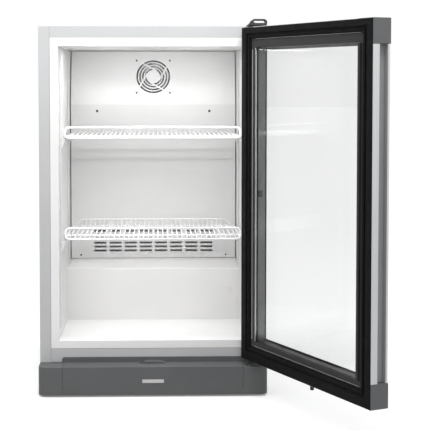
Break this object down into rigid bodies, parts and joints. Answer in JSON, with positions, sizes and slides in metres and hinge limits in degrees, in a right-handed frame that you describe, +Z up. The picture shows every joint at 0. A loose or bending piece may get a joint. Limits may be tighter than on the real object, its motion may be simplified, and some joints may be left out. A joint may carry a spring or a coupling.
{
  "type": "glass-door mini fridge",
  "caption": "Counter-top display fridge with a hinged glass door standing open, wire shelves on clips, a fan-cooled back cover and a dark plinth.",
  "frame": {"origin": "on the floor under the middle of the cabinet, 4 mm below the flat pad of the base plate", "axes": "+Z up, +Y to the back, so the cabinet front faces -Y and the door is hinged on the +X side"},
  "size_m": [0.6847, 0.9787, 0.816],
  "materials": {
    "grey_steel": "satin",
    "zinc_steel": "satin",
    "badge_silver": "satin",
    "liner_white": "satin",
    "shelf_white": "gloss",
    "light_lens": "satin",
    "foam": "matte",
    "fin_aluminium": "satin",
    "door_aluminium": "satin",
    "grey_plastic": "matte",
    "inner_frame_grey": "satin",
    "black_plastic": "matte",
    "black_rubber": "matte",
    "pane_glass": "gloss",
    "compressor_black": "satin"
  },
  "bodies": {
    "cabinet": {"badge_plate": "badge_silver", "base_plate": "zinc_steel", "bottom_hinge_bracket": "zinc_steel", "compressor": "compressor_black", "condenser": "fin_aluminium", "condenser_fan_housing": "black_plastic", "control_box": "grey_plastic", "evaporation_tray": "black_plastic", "evaporator_coil": "fin_aluminium", "evaporator_cover": "liner_white", "evaporator_fan_housing": "black_plastic", "foot_back_left": "black_rubber", "foot_back_right": "black_rubber", "foot_front_left": "black_rubber", "foot_front_right": "black_rubber", "front_rail_bottom": "grey_steel", "inner_liner": "liner_white", "insulation_foam": "foam", "led_light_bar": "light_lens", "plinth_centre_panel": "grey_plastic", "plinth_corner_left": "grey_plastic", "plinth_corner_right": "grey_plastic", "power_inlet": "black_plastic", "rear_grille": "grey_plastic", "rear_panel": "grey_steel", "shelf_clip_lower_back_left": "liner_white", "shelf_clip_lower_back_right": "liner_white", "shelf_clip_lower_front_left": "liner_white", "shelf_clip_lower_front_right": "liner_white", "shelf_clip_upper_back_left": "liner_white", "shelf_clip_upper_back_right": "liner_white", "shelf_clip_upper_front_left": "liner_white", "shelf_clip_upper_front_right": "liner_white", "shelf_rail_back_left": "liner_white", "shelf_rail_back_right": "liner_white", "shelf_rail_front_left": "liner_white", "shelf_rail_front_right": "liner_white", "side_panel_left": "grey_steel", "side_panel_right": "grey_steel", "top_hinge_bracket": "inner_frame_grey", "top_panel": "grey_steel"},
    "door": {"door_profile_hinge": "door_aluminium", "door_profile_free": "door_aluminium", "door_profile_top": "door_aluminium", "door_profile_bottom": "door_aluminium", "door_cap_top_free": "grey_plastic", "door_cap_top_hinge": "grey_plastic", "door_cap_bottom_free": "grey_plastic", "door_cap_bottom_hinge": "grey_plastic", "door_gasket": "black_rubber", "door_inner_frame": "inner_frame_grey", "glass_inner": "pane_glass", "glass_outer": "pane_glass", "glass_spacer": "inner_frame_grey"},
    "lock_bolt": {"lock_bolt": "zinc_steel"},
    "lock_barrel": {"lock_barrel": "zinc_steel"},
    "evaporator_fan_rotor": {"evaporator_fan_rotor": "black_plastic"},
    "condenser_fan_rotor": {"condenser_fan_rotor": "black_plastic"},
    "shelf_upper": {"shelf_upper": "shelf_white"},
    "shelf_lower": {"shelf_lower": "shelf_white"}
  },
  "joints": [
    {"name": "door_hinge", "type": "hinge", "parent": "cabinet", "child": "door", "pos_m": [0.2275, -0.2553, 0.438], "axis": [0, 0, 1], "range_deg": [-114.65, 5.35]},
    {"name": "lock_barrel_turn", "type": "hinge", "parent": "door", "child": "lock_barrel", "pos_m": [0.33436, -0.48408, 0.1], "axis": [0.9089, 0.4171, 0], "range_deg": [0, 90]},
    {"name": "lock_bolt_slide", "type": "slide", "parent": "door", "child": "lock_bolt", "axis": [0, 0, -1], "range_m": [0, 0.008]},
    {"name": "evaporator_fan_spin", "type": "hinge", "parent": "cabinet", "child": "evaporator_fan_rotor", "pos_m": [0, 0.17772, 0.69053], "axis": [0, 0.9701, -0.2425], "continuous": true},
    {"name": "condenser_fan_spin", "type": "hinge", "parent": "cabinet", "child": "condenser_fan_rotor", "pos_m": [-0.148, 0.2025, 0.105], "axis": [0, 1, 0], "continuous": true},
    {"name": "shelf_upper_slide", "type": "slide", "parent": "cabinet", "child": "shelf_upper", "axis": [0, -1, 0], "range_m": [0, 0.045]},
    {"name": "shelf_lower_slide", "type": "slide", "parent": "cabinet", "child": "shelf_lower", "axis": [0, -1, 0], "range_m": [0, 0.045]}
  ],
  "couplings": [
    {"joint": "lock_barrel_turn", "follows": "lock_bolt_slide", "rad_per_m": 196.3}
  ]
}
